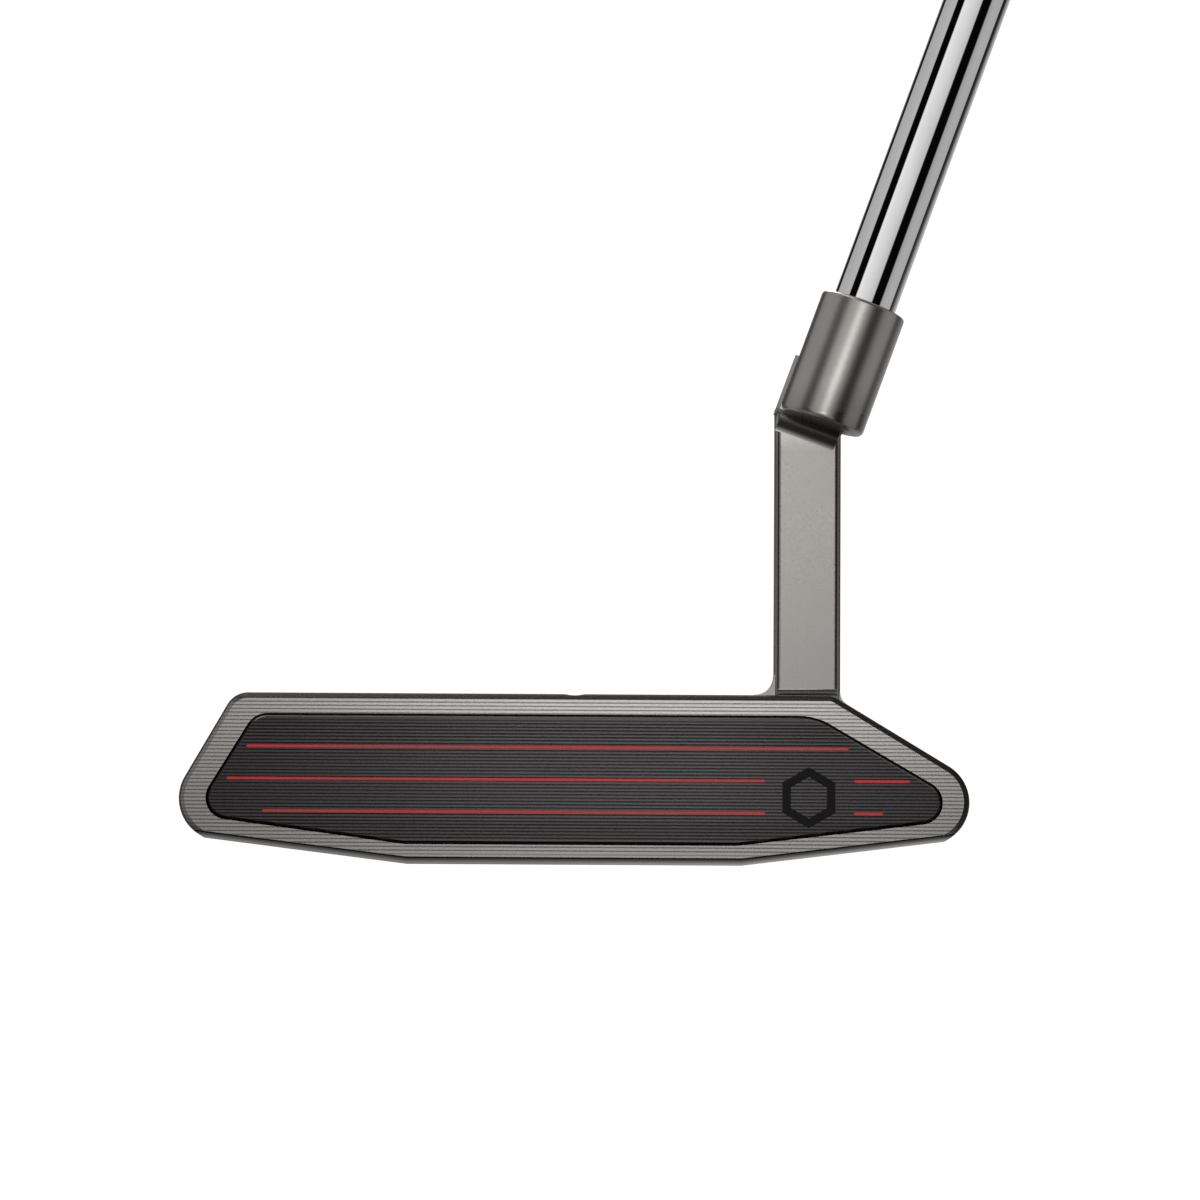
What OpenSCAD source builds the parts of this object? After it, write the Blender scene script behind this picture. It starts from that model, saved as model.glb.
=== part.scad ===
// Blade putter with a plumber's neck, right-handed, at address.
// +X runs from toe to heel, +Y from the face to the back, +Z up.
// Origin: on the ground, in the middle of the flat of the sole.

/* [Head] */
// Heel-to-toe length of the head
head_l = 117.4; // [114:0.2:121]
// Height of the top line above the ground
head_h = 25.5; // [25:0.1:26.4]
// Depth of the head from leading edge to trailing edge
head_d = 28; // [27:0.5:30]
// Thickness of the blade behind the face
blade_t = 7; // [6.6:0.1:7.4]
// Loft of the face in degrees
loft = 3; // [2:0.5:4]
// Radius of the rounded toe end
toe_r = 6.4; // [6:0.1:6.6]
// Radius of the rounded heel end
heel_r = 6.3; // [6:0.1:6.6]
// Rake of the toe edge from upright, in degrees
toe_rake = 30; // [28:0.5:32]
// Rake of the heel edge from level, in degrees
heel_rake = 31; // [30:0.5:32]
// Half width of the flat middle of the sole
sole_flat = 25; // [24:0.5:26]
// Rise of the toe and heel parts of the sole, in degrees
sole_rise = 7; // [6.5:0.5:7.5]
// Edge break round the face
edge = 0.9; // [0.7:0.1:1]

/* [Face insert] */
// Clearance between the insert and its pocket, each side
ins_gap = 0.06; // [0.04:0.01:0.1]
// Thickness of the insert at its rim
ins_t = 3.2; // [3:0.1:3.6]
// Thickness of the bonding pad behind the insert
bond_t = 0.4; // [0.3:0.1:0.5]
// Distance between milled lines on the insert
ins_pitch = 0.5; // [0.5:0.05:0.6]
// Distance between milled lines on the head's face
face_pitch = 0.55; // [0.5:0.05:0.6]
// Depth of the milled lines
mill_d = 0.09; // [0.06:0.01:0.12]
// Width of a painted line
line_w = 0.4; // [0.34:0.01:0.6]

/* [Neck and hosel] */
// Lie angle of the shaft from the ground, in degrees
lie = 70; // [69.5:0.5:70.5]
// Width of the neck, toe to heel
neck_w = 9.86; // [9.6:0.1:10.2]
// Thickness of the neck, face to back
neck_t = 5.4; // [5.2:0.1:5.6]
// Outside diameter of the hosel
hosel_d = 12.84; // [12.6:0.1:13.2]
// Length of the hosel
hosel_l = 18.7; // [18.5:0.1:19.5]
// Diameter of the blind bore that takes the shaft
bore_d = 9.7; // [9.65:0.05:9.8]

/* [Shaft and grip] */
// Outside diameter of the shaft's parallel tip
tip_d = 9.4; // [9.3:0.05:9.45]
// Outside diameter of the shaft's butt
butt_d = 14.7; // [14.2:0.1:15.2]
// Wall of the tube at the tip
tip_wall = 0.75; // [0.7:0.05:0.9]
// Wall of the tube at the butt
butt_wall = 0.45; // [0.4:0.05:0.6]
// Number of steps between tip and butt
steps = 9; // [8:1:10]
// Club length along the shaft, from the ground to the end of the grip
club_l = 889; // [838:12.7:914]
// Length of the grip
grip_l = 267; // [254:1:280]

/* [Sole weights] */
// Diameter of a weight's head
weight_d = 13.6; // [13:0.1:13.8]
// Thickness of a weight's head
weight_h = 2.2; // [2:0.1:2.4]
// Outside diameter of the thread
thread_d = 10; // [9.5:0.1:10.2]
// Pitch of the thread
thread_p = 1.25; // [1.25:0.25:1.5]
// Length of the threaded barrel
barrel_l = 6.6; // [6:0.1:7]

/* [Hidden] */
$fn = 96;
hair = 0.02;                    // gap that keeps neighbouring pieces apart

// ---- frames --------------------------------------------------------------------------------
// The head is drawn with y = 0 at its leading edge; home() moves it back over the origin.
lead_z = 1.2;                   // height of the leading edge
lead_y = -14;                   // place of the leading edge once home
axis_x = 12.28;                 // where the shaft axis meets the ground
axis_y = -4.5;                  // the shaft axis runs in front of the leading edge
hosel_s = 69.64;                // distance along the axis to the hosel's lower end
weight_x = 40;                  // sole weights, either side of the middle
weight_y = 15.4;                // and behind the leading edge

module home() { translate([0, lead_y, 0]) children(); }

// Leans upright shapes back by the loft, about the leading edge.
module lean() {
    translate([0, 0, lead_z]) rotate([-loft, 0, 0]) translate([0, 0, -lead_z]) children();
}
// Stands a plane figure up in the face: x stays, y becomes height, z becomes depth behind it.
module on_face() { lean() mirror([0, 1, 0]) rotate([90, 0, 0]) children(); }

// +Z up the shaft, from the ground.
module axis_frame() { translate([axis_x, axis_y, 0]) rotate([0, 90 - lie, 0]) children(); }
// The same, from the hosel's lower end.
module hosel_frame() { axis_frame() translate([0, 0, hosel_s]) children(); }

// Origin on the sole, +Z pointing out of it. side is -1 for the toe, 1 for the heel.
module weight_frame(side) {
    translate([side * weight_x, weight_y, (weight_x - sole_flat) * tan(sole_rise)])
        rotate([0, 180 - side * sole_rise, 0]) children();
}

// ---- shared shapes -------------------------------------------------------------------------
// Extrudes a side view (x is Y, y is Z) along X.
module along_x(x0, x1) {
    translate([x0, 0, 0]) rotate([90, 0, 90]) linear_extrude(x1 - x0) children();
}
// Extrudes a front view (x is X, y is Z) along Y.
module along_y(y0, y1) {
    translate([0, y1, 0]) rotate([90, 0, 0]) linear_extrude(y1 - y0) children();
}

module tube(outer_r, inner_r, h) {
    difference() {
        cylinder(r = outer_r, h = h);
        translate([0, 0, -1]) cylinder(r = inner_r, h = h + 2);
    }
}

// Arc in short flats, from angle a0 to a1.
function arc(x, y, r, a0, a1, flats) =
    [for (i = [0:flats]) let(a = a0 + (a1 - a0) * i / flats) [x + r * cos(a), y + r * sin(a)]];

// Direction of the outward normal to the line that touches circles a and b, [x, y, radius].
function normal_angle(a, b) =
    let(gap = [b[0] - a[0], b[1] - a[1]],
        along = gap / norm(gap),
        slant = (a[2] - b[2]) / norm(gap),
        square = sqrt(1 - slant * slant))
    atan2(-square * along[0] + slant * along[1], square * along[1] + slant * along[0]);

// Outline wrapped round circles [x, y, radius] taken anticlockwise, shrunk by off.
flat_angle = 6;                 // most that one flat of an arc turns
function ring(corners, off = 0) =
    let(n = len(corners))
    [for (i = [0:n - 1])
        let(c = corners[i],
            a0 = normal_angle(corners[(i + n - 1) % n], c),
            a1 = normal_angle(c, corners[(i + 1) % n]),
            turn = a1 < a0 - 0.01 ? a1 - a0 + 360 : a1 - a0,
            flats = max(1, ceil(turn / flat_angle)))
        each arc(c[0], c[1], c[2] - off, a0, a0 + turn, flats)];
module wrap(corners, off = 0) { polygon(ring(corners, off)); }

// Faces of a solid built from layers 0 to m, each of n points.
function end_faces(n, m) = [[for (i = [0:n - 1]) i], [for (i = [n - 1:-1:0]) m * n + i]];
function side_faces(n, m) =
    [for (j = [0:m - 1], i = [0:n - 1])
        let(next = (i + 1) % n)
        [j * n + i, (j + 1) * n + i, (j + 1) * n + next, j * n + next]];

// A wrapped outline as a plate facing -z. layers lists [shrink, depth] from front to back.
module plate(corners, layers) {
    n = len(ring(corners));
    m = len(layers) - 1;
    polyhedron([for (g = layers) for (p = ring(corners, g[0])) [p[0], p[1], g[1]]],
               concat(end_faces(n, m), side_faces(n, m)), convexity = 4);
}

// ---- outlines in the face plane ------------------------------------------------------------
toe_cx = -(head_l / 2 - toe_r);
toe_cz = (-toe_cx - sole_flat) * tan(sole_rise) + toe_r / cos(sole_rise);
heel_cx = head_l / 2 - heel_r;
heel_cz = (heel_cx - sole_flat) * tan(sole_rise) + heel_r / cos(sole_rise);
// Where the lines of the toe and heel edges reach the ground.
toe_line_x = toe_cx - toe_r * cos(toe_rake) - (toe_cz + toe_r * sin(toe_rake)) * tan(toe_rake);
heel_line_x = heel_cx + heel_r * sin(heel_rake)
    + (heel_cz + heel_r * cos(heel_rake)) / tan(heel_rake);
top_toe_r = 3.6;
top_toe_z = head_h - top_toe_r;
top_heel_r = 2;
top_heel_z = head_h - top_heel_r;
sole_drop = 0.05;               // the ends sit this low, for above_sole() to trim

// Corner circles [x, z, radius], anticlockwise seen from the front. The sole side runs low.
outline = [
    [toe_cx, toe_cz - sole_drop, toe_r],
    [-sole_flat, 1, 3],
    [sole_flat, 1, 3],
    [heel_cx, heel_cz - sole_drop, heel_r],
    [heel_line_x - top_heel_z / tan(heel_rake) - top_heel_r / sin(heel_rake),
     top_heel_z, top_heel_r],
    [toe_line_x + top_toe_z * tan(toe_rake) + top_toe_r / cos(toe_rake), top_toe_z, top_toe_r]
];

ins_x = 54.6;                   // half length of the insert
ins_top = 22.3;
ins_bot = 3.05;
ins_end_r = 3.2;
ins_end_z = 9.75;
pocket_d = ins_t + bond_t + 0.04;
// Corner circles of the insert, [x, z, radius].
insert = [
    [-ins_x + ins_end_r, ins_end_z, ins_end_r],
    [-sole_flat, ins_bot + 2, 2],
    [sole_flat - 1, ins_bot + 2, 2],
    [ins_x - ins_end_r, ins_end_z - 0.2, ins_end_r],
    [33.4, ins_top - 9, 9],
    [-45.6, ins_top - 3.4, 3.4]
];

// ---- blade and back of the head ------------------------------------------------------------
// Everything above the three-part sole, which is cambered from front to back.
module above_sole() {
    module part(angle, x) {
        translate([x, 0, 0]) rotate([0, angle, 0]) along_x(-100, 100) polygon(concat(
            [[-6, 60]],
            arc(8, 27.5, 27.5, 239, 270, 11),
            arc(20, 20, 20, 270, 311, 10),
            [[46, 60]]));
    }
    intersection() {
        part(0, 0);
        part(sole_rise, -sole_flat);
        part(-sole_rise, sole_flat);
    }
}

face_groove_z = 2.1;            // height of the lowest milled line
face_grooves = 41;
face_groove_w = 0.24;
face_groove_d = mill_d * 0.8;
module face_milling() {
    intersection() {
        lean() along_x(-59, 59)
            for (i = [0:face_grooves - 1]) translate([0, face_groove_z + i * face_pitch]) polygon([
                [-0.2, -face_groove_w * 0.72], [face_groove_d, -face_groove_w / 6],
                [face_groove_d, face_groove_w / 6], [-0.2, face_groove_w * 0.72]]);
        // the lines stop at the edge break
        on_face() translate([0, 0, -0.5]) linear_extrude(1.5) wrap(outline, edge + 0.06);
    }
}

// A plate parallel to the face, with its front edge rounded and its back edge chamfered.
back_edge = 0.5;
module blade() {
    intersection() {
        difference() {
            on_face() plate(outline, [
                [edge, 0], [edge * 0.38, edge * 0.16], [edge * 0.1, edge * 0.5], [0, edge],
                [0, blade_t - back_edge], [back_edge, blade_t]]);
            face_milling();
            // pocket for the insert
            on_face() translate([0, 0, -1]) linear_extrude(pocket_d + 1) wrap(insert, -ins_gap);
        }
        above_sole();
    }
}

// Height of the flange behind the blade.
function flange_z(y) = 8 - (y - 7) * 0.09;

// Plan of the head behind the blade, with rounded back corners.
plan_r = 13.4;
module plan() {
    polygon(concat(
        [[-61, -2], [61, -2], [61, 9]],
        arc(45.2, head_d - plan_r, plan_r, -6, 90, 12),
        arc(-45.2, head_d - plan_r, plan_r, 90, 186, 12),
        [[-61, 9]]));
}

// Front views [x, z] of the bumper's tiers at the heel; the toe's are mirrored.
low_tier = [[28.4, -1], [62, -1], [62, 14.6], [32.5, 14.6], [29, 6]];
high_tier = [[33, -1.5], [63, -1.5], [63, 19], [36.4, 19], [33.5, 12]];
module rear() {
    intersection() {
        union() {
            // flange, falling to the back
            along_x(-60, 60) polygon([
                [5.1, -2], [head_d + 1, -2], [head_d + 1, flange_z(head_d + 1)],
                [6.4, flange_z(6.4)], [5.1, flange_z(6.4)]]);
            for (m = [0, 1]) mirror([m, 0, 0]) {
                along_y(5.4, head_d + 3) polygon(low_tier);
                along_y(5.7, 13.2) polygon(high_tier);
            }
        }
        translate([0, 0, -4]) linear_extrude(40) plan();
        along_y(2, head_d + 2) wrap(outline, 0.7);
        above_sole();
    }
}

// Strip down the middle of the flange, shrunk by gap.
// top_z gives its top at sight_y and at the back of the head.
sight_w = 1.4;
sight_y0 = 9.2;
sight_y1 = head_d - 3.4;
sight_d = 0.45;
sight_y = 8;                    // front of the strip's side view
module sight_strip(gap, top_z) {
    intersection() {
        translate([-sight_w / 2 + gap, sight_y0 + gap, 0])
            cube([sight_w - 2 * gap, sight_y1 - sight_y0 - 2 * gap, 20]);
        along_x(-1, 1) polygon([
            [sight_y, flange_z(sight_y) - sight_d + gap], [head_d, flange_z(head_d) - sight_d + gap],
            [head_d, top_z[1]], [sight_y, top_z[0]]]);
    }
}

notch_r = 5;
notch_d = 0.15;
module top_notch() {
    translate([0, -1, head_h + notch_r - notch_d])
        rotate([-90 - loft, 0, 0]) cylinder(r = notch_r, h = 14);
}

// Corner circles of the shallow relief in the back of the blade, [x, z, radius].
cavity = [[-23.4, 12.6, 2.4], [23.4, 12.6, 2.4], [23.4, 19.6, 2.4], [-23.4, 19.6, 2.4]];
module cavity_relief() { lean() along_y(blade_t - 0.7, blade_t + 4) wrap(cavity); }

// ---- plumber's neck ------------------------------------------------------------------------
hosel_r = hosel_d / 2;
neck_x = 29.7;                  // toe side of the neck
neck_y = 2.6;                   // front of the neck
post_r = 1;                     // corner radius of the post
post_z = 22.9;                  // foot of the post, inside the head
heel_post_x = neck_x + neck_w;
heel_post_z = (heel_line_x - heel_post_x) * tan(heel_rake);
post_front = neck_y - axis_y;   // front and back of the post, behind the shaft axis
post_back = post_front + neck_t;
shoulder_h = 8.3;
shoulder_r = 7.3;               // rounding of the shoulder's back

module post() {
    difference() {
        translate([neck_x, neck_y, post_z]) linear_extrude(50) union() {
            translate([post_r, 0]) square([neck_w - 2 * post_r, neck_t]);
            translate([0, post_r]) square([neck_w, neck_t - 2 * post_r]);
            for (x = [post_r, neck_w - post_r], y = [post_r, neck_t - post_r])
                translate([x, y]) circle(post_r);
        }
        // the post stops just inside the shoulder
        hosel_frame() translate([-30, -20, 0.5]) cube([60, 60, 30]);
    }
}

// Fillets where the post meets the head.
toe_fillet_r = 3;
heel_fillet_r = 2;
heel_fillet_z = heel_post_z + 1.13;
front_fillet_r = 1;
front_fillet_z = head_h + 0.9;
module post_fillets() {
    along_y(neck_y + 0.5, neck_y + neck_t - 0.5) {
        // toe side
        difference() {
            translate([neck_x - toe_fillet_r, head_h - 2])
                square([toe_fillet_r + 0.6, toe_fillet_r + 2]);
            translate([neck_x - toe_fillet_r, head_h + toe_fillet_r]) circle(toe_fillet_r);
        }
        // heel side
        polygon(concat(
            [[heel_post_x - 0.6, heel_post_z - 0.6], [heel_post_x - 0.6, heel_fillet_z]],
            arc(heel_post_x + heel_fillet_r, heel_fillet_z, heel_fillet_r,
                180, 270 - heel_rake, 7),
            [[heel_post_x + 0.8, heel_post_z - 1]]));
    }
    // front
    along_x(neck_x + 0.5, neck_x + neck_w - 0.5) polygon(concat(
        [[neck_y + 0.4, head_h - 0.8], [neck_y - front_fillet_r, head_h - 0.8]],
        arc(neck_y - front_fillet_r, front_fillet_z, front_fillet_r, 270, 360, 6),
        [[neck_y + 0.4, front_fillet_z]]));
}

// Carries the hosel forward of the post.
module shoulder() {
    along_x(-hosel_r - 0.52, 3.6) difference() {
        union() {
            square([post_front, shoulder_h]);
            square([post_back, 1]);
            intersection() {
                translate([post_back - shoulder_r, 1]) circle(shoulder_r);
                square([20, shoulder_h]);
            }
        }
        // nothing in front of the shaft axis
        translate([-20, -1]) square([20, 30]);
    }
}

under_fillet_r = 2.6;           // under the shoulder, in front of the post
module under_fillet() {
    along_x(-hosel_r + 0.5, 3.3) translate([post_front - under_fillet_r, -under_fillet_r])
        difference() {
            square([under_fillet_r + 0.6, under_fillet_r + 0.4]);
            circle(under_fillet_r);
        }
}

// Profile [radius, z], with a rounded lower edge and a rounded rim.
module hosel() {
    rotate_extrude() polygon([
        [0, 0], [hosel_r - 0.9, 0], [hosel_r - 0.45, 0.12], [hosel_r - 0.12, 0.45],
        [hosel_r, 0.9], [hosel_r, hosel_l - 0.5], [hosel_r - 0.08, hosel_l - 0.25],
        [hosel_r - 0.25, hosel_l - 0.08], [hosel_r - 0.5, hosel_l], [0, hosel_l]]);
}

module neck() {
    post();
    post_fillets();
    hosel_frame() {
        shoulder();
        under_fillet();
        hosel();
    }
}

// ---- head body -----------------------------------------------------------------------------
bore_floor = 1.8;               // solid metal left below the blind bore
bore_l = hosel_l - bore_floor;
weight_recess = 0.2;            // a weight's face sits this far below the sole
washer_t = 0.7;
seat_d = weight_recess + weight_h + washer_t;

module weight_port() {
    translate([0, 0, -seat_d]) cylinder(d = weight_d + 0.4, h = seat_d + 3);
    translate([0, 0, -seat_d - barrel_l - 0.8]) cylinder(d = thread_d + 0.1, h = barrel_l + 2);
}

module head_body() {
    color([0.44, 0.43, 0.41]) home() difference() {
        union() {
            blade();
            rear();
            neck();
        }
        hosel_frame() translate([0, 0, bore_floor]) cylinder(d = bore_d, h = bore_l + 2);
        for (side = [-1, 1]) weight_frame(side) weight_port();
        sight_strip(0, [12, 12]);
        top_notch();
        cavity_relief();
    }
}

module sight_line_paint() {
    paint_drop = 0.12;          // the paint stops this far below the flange
    color([0.93, 0.93, 0.92]) home()
        sight_strip(hair, [flange_z(sight_y) - paint_drop, flange_z(head_d) - paint_drop]);
}

// ---- face insert ---------------------------------------------------------------------------
// The front has four flat bands, falling back above and below the middle.
// Heights of the band edges from the bottom up, and their depths behind the middle one.
band_z = [for (i = [0:4]) ins_bot + i * (ins_top - ins_bot) / 4];
band_back = [0.088, 0.021, 0, 0.021, 0.088];
band_shift = 0.04;              // all bands move forward; the plate's front trims the middle
function band_depth(z) = lookup(z, [for (i = [0:4]) [band_z[i], band_back[i]]]) - band_shift;

ins_groove_z = 3.9;             // height of the lowest milled line
ins_grooves = 35;
// Side view: x is depth behind the face, y is height.
module insert_side() {
    polygon(concat(
        [[ins_t, ins_top + 1], [ins_t, ins_bot - 1], [band_depth(ins_bot), ins_bot - 1]],
        [for (i = [0:ins_grooves - 1])
            let(z = ins_groove_z + i * ins_pitch, depth = band_depth(z))
            each [[depth, z - 0.15], [depth + mill_d, z - 0.05],
                  [depth + mill_d, z + 0.05], [depth, z + 0.15]]],
        [[band_depth(ins_top), ins_top + 1]]));
}

// Painted lines along the band edges: [index in band_z, start x, end x].
lines = [[3, -48.7, 40.7], [2, -51.6, 28.3], [2, 41.5, 49.8], [1, -46.2, 28.3], [1, 41.5, 45.8]];
// Round-ended bars of width w, from depth d0 to d1 behind the face.
module line_bars(w, d0, d1) {
    for (line = lines) translate([0, band_z[line[0]], d0]) linear_extrude(d1 - d0) {
        translate([line[1] + w / 2, -w / 2]) square([line[2] - line[1] - w, w]);
        for (x = [line[1] + w / 2, line[2] - w / 2]) translate([x, 0]) circle(w / 2, $fn = 24);
    }
}

emblem_x = 34.8;
emblem_z = 10.2;
// Hexagonal ring from depth d0 to d1 behind the face.
module emblem_ring(d0, d1, grow = 0) {
    translate([emblem_x, emblem_z, d0]) linear_extrude(d1 - d0) difference() {
        rotate(30) circle(r = 4.5 + grow, $fn = 6);
        rotate(30) circle(r = 3.1 - grow, $fn = 6);
    }
}

module face_insert() {
    color([0.13, 0.125, 0.13]) home() difference() {
        intersection() {
            on_face() plate(insert, [[0.5, 0], [0, 0.35], [0, ins_t]]);
            lean() along_x(-60, 60) insert_side();
        }
        on_face() line_bars(line_w, -1, 0.36);
        on_face() emblem_ring(-1, 0.42, hair);
    }
}

module insert_line_paint() {
    color([0.75, 0.08, 0.09]) home() on_face() line_bars(line_w - hair, 0.14, 0.35);
}

module insert_emblem() {
    color([0.02, 0.02, 0.02]) home() on_face() emblem_ring(0.16, 0.41);
}

module insert_bond_pad() {
    color([0.08, 0.08, 0.08]) home() on_face()
        translate([0, 0, ins_t + hair]) linear_extrude(bond_t) wrap(insert, 0.6);
}

// ---- sole weights --------------------------------------------------------------------------
thread_r = thread_d / 2;
root_r = thread_r - 0.75;       // radius at the root of the thread
weight_edge = 0.5;              // chamfer of a weight's head

module weight_head() {
    rotate_extrude() polygon([
        [0, 0], [weight_d / 2, 0], [weight_d / 2, weight_h - weight_edge],
        [weight_d / 2 - weight_edge, weight_h], [0, weight_h]]);
}

// Barrel with its thread drawn as closed rings; it runs a little way into the head.
module weight_barrel() {
    turns = floor((barrel_l - 1.4) / thread_p);
    top_z = barrel_l + washer_t + 0.01;
    rotate_extrude() polygon(concat(
        [[0, 0], [thread_r - 1.3, 0], [root_r, 0.6]],
        [for (i = [0:turns - 1])
            let(z = 0.7 + i * thread_p)
            each [[root_r, z], [thread_r, z + 0.38 * thread_p],
                  [thread_r, z + 0.54 * thread_p], [root_r, z + 0.92 * thread_p]]],
        [[root_r, top_z], [0, top_z]]));
}

// Six-lobed wrench socket.
lobe_x = 2.05;
module wrench_socket() {
    cylinder(d = 2 * lobe_x, h = 4);
    for (a = [0:60:300]) rotate(a) translate([lobe_x, 0, 0]) cylinder(d = 1.5, h = 4, $fn = 24);
}

module weight() {
    difference() {
        union() {
            translate([0, 0, -weight_recess - weight_h]) weight_head();
            translate([0, 0, -seat_d - barrel_l]) weight_barrel();
        }
        translate([0, 0, -weight_recess - 2.6]) wrench_socket();
        // shallow dish round the socket
        translate([0, 0, -weight_recess - 0.35]) cylinder(d1 = 8.4, d2 = 9.2, h = 1);
    }
}

module washer() {
    translate([0, 0, -seat_d + hair])
        tube(weight_d / 2 - 0.1, thread_r - 0.65, washer_t - 2 * hair);
}

module toe_weight() { color([0.55, 0.55, 0.56]) home() weight_frame(-1) weight(); }
module heel_weight() { color([0.55, 0.55, 0.56]) home() weight_frame(1) weight(); }
module toe_weight_washer() { color([0.05, 0.05, 0.05]) home() weight_frame(-1) washer(); }
module heel_weight_washer() { color([0.05, 0.05, 0.05]) home() weight_frame(1) washer(); }

// ---- shaft ---------------------------------------------------------------------------------
// Names ending in _s are distances along the axis from the ground.
grip_s = club_l - grip_l;       // lower mouth of the grip
butt_s = club_l - 4;            // upper end of the shaft, just below the end cap
tip_lift = 0.3;                 // the shaft starts this far above the bore's floor
shaft_s = hosel_s + bore_floor + tip_lift;
first_step_s = 330;             // the parallel tip ends here
step_l = (grip_s - 8 - first_step_s) / steps;
step_h = (butt_d - tip_d) / 2 / steps;
step_run = 1.2;                 // length of the slope at a step
tip_bore_r = tip_d / 2 - tip_wall;
butt_bore_r = butt_d / 2 - butt_wall;

module shaft() {
    color([0.8, 0.8, 0.82]) home() axis_frame() rotate_extrude() polygon(concat(
        [[tip_bore_r, shaft_s], [tip_d / 2 - 0.25, shaft_s], [tip_d / 2, shaft_s + 0.5]],
        [for (i = [0:steps - 1])
            let(s = first_step_s + i * step_l)
            each [[tip_d / 2 + i * step_h, s], [tip_d / 2 + (i + 1) * step_h, s + step_run]]],
        [[butt_d / 2, butt_s], [butt_bore_r, butt_s],
         [butt_bore_r, first_step_s + (steps - 1) * step_l + step_run],
         [tip_bore_r, first_step_s]]));
}

module shaft_epoxy() {
    color([0.06, 0.06, 0.06]) home() hosel_frame() translate([0, 0, bore_floor + tip_lift])
        tube((bore_d - hair) / 2, (tip_d + hair) / 2, bore_l - 0.36);
}

module shaft_tip_plug() {
    color([0.72, 0.55, 0.38]) home() axis_frame() translate([0, 0, shaft_s + 1])
        cylinder(r = tip_bore_r - hair, h = 8);
}

// ---- grip ----------------------------------------------------------------------------------
function lerp(a, b, t) = a + (b - a) * t;
function smooth(t) = let(u = min(1, max(0, t))) u * u * (3 - 2 * u);

// Half sizes of the section at s, 0 at the lower mouth and 1 at the butt:
// half width, reach away from the golfer (-x) and reach towards the golfer (+x).
function half_width(s) = lerp(9.6, 13.2, smooth(s * 1.05));
function far_reach(s) = lerp(9.2, 11.2, smooth(s));
function near_reach(s) = lerp(10, 14.2, smooth(s * 1.15)) + 4.2 * smooth((s - 0.66) / 0.3);

// Superellipse section: flatter on the far side, rounder on the near side.
grip_sides = 28;
function section(s) =
    [for (i = [0:grip_sides - 1])
        let(a = 360 * i / grip_sides,
            c = cos(a),
            d = sin(a),
            far = c < 0)
        [far ? -far_reach(s) * pow(-c, 0.42) : near_reach(s) * pow(c, 0.95),
         half_width(s) * sign(d) * pow(abs(d), far ? 0.62 : 0.95)]];

// Grip from s0 to s1 in m lengths, shrunk by off.
module grip_form(s0, s1, m, off = 0) {
    points = [for (j = [0:m])
        let(s = lerp(s0, s1, j / m))
        for (p = section(s))
            let(q = p * (norm(p) - off) / norm(p))
            [q[0], q[1], s * grip_l]];
    triangles = [for (f = side_faces(grip_sides, m)) each [[f[0], f[1], f[2]], [f[0], f[2], f[3]]]];
    polyhedron(points, concat(end_faces(grip_sides, m), triangles), convexity = 4);
}

module grip_frame() { axis_frame() translate([0, 0, grip_s]) children(); }

listing_in_r = butt_d / 2 + 0.32;   // the underlisting's bore, over the tape
listing_r = listing_in_r + 1.2;

module grip_sleeve() {
    color([0.07, 0.07, 0.07]) home() grip_frame() difference() {
        grip_form(0, 1 - 3.2 / grip_l, 18);
        translate([0, 0, -1]) cylinder(r = listing_r + hair, h = grip_l + 2);
    }
}

module grip_underlisting() {
    color([0.2, 0.2, 0.21]) home() grip_frame() translate([0, 0, 0.4])
        tube(listing_r, listing_in_r, grip_l - 4);
}

module grip_tape() {
    color([0.85, 0.82, 0.7]) home() grip_frame() translate([0, 0, 6])
        tube(butt_d / 2 + 0.28, butt_d / 2 + hair, grip_l - 10.4);
}

module grip_end_cap() {
    color([0.05, 0.05, 0.05]) home() grip_frame() difference() {
        grip_form(1 - 3.15 / grip_l, 1, 1, off = 0.4);
        // vent hole
        translate([0, 0, grip_l - 8]) cylinder(r = 1.6, h = 12);
    }
}

head_body();
face_insert();
insert_bond_pad();
insert_line_paint();
insert_emblem();
sight_line_paint();
toe_weight();
toe_weight_washer();
heel_weight();
heel_weight_washer();
shaft_epoxy();
shaft();
shaft_tip_plug();
grip_tape();
grip_underlisting();
grip_sleeve();
grip_end_cap();
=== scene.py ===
import math

import bmesh
import bpy
from mathutils import Matrix, Vector

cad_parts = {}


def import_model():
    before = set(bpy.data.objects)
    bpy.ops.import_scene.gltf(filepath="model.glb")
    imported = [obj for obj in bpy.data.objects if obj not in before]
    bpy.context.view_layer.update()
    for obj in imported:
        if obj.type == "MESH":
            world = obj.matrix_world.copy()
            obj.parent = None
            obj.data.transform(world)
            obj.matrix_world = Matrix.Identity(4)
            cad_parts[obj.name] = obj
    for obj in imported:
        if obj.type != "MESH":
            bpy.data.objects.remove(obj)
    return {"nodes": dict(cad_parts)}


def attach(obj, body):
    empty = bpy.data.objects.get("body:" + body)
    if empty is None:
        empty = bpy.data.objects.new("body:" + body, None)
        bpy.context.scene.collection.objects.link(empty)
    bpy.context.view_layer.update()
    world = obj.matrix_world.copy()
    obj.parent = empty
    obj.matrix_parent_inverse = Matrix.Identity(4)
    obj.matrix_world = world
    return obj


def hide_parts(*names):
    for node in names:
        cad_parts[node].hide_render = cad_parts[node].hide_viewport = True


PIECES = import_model()["nodes"]


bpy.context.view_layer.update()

# ---------------------------------------------------------------- dimensions, mm
MM = 0.001
LEAD_Y, LEAD_Z = -14.0, 1.2            # leading edge
FACE_BACK = LEAD_Y + 2.2               # the face and its edge break lie in front of this
BLADE_TOP = 26.2
LOFT = math.radians(3)
LIE = math.radians(20)                 # lean of the shaft from upright
GROUND_X, HOSEL_Y = 12.28, -18.5       # where the shaft's axis meets the ground

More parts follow.
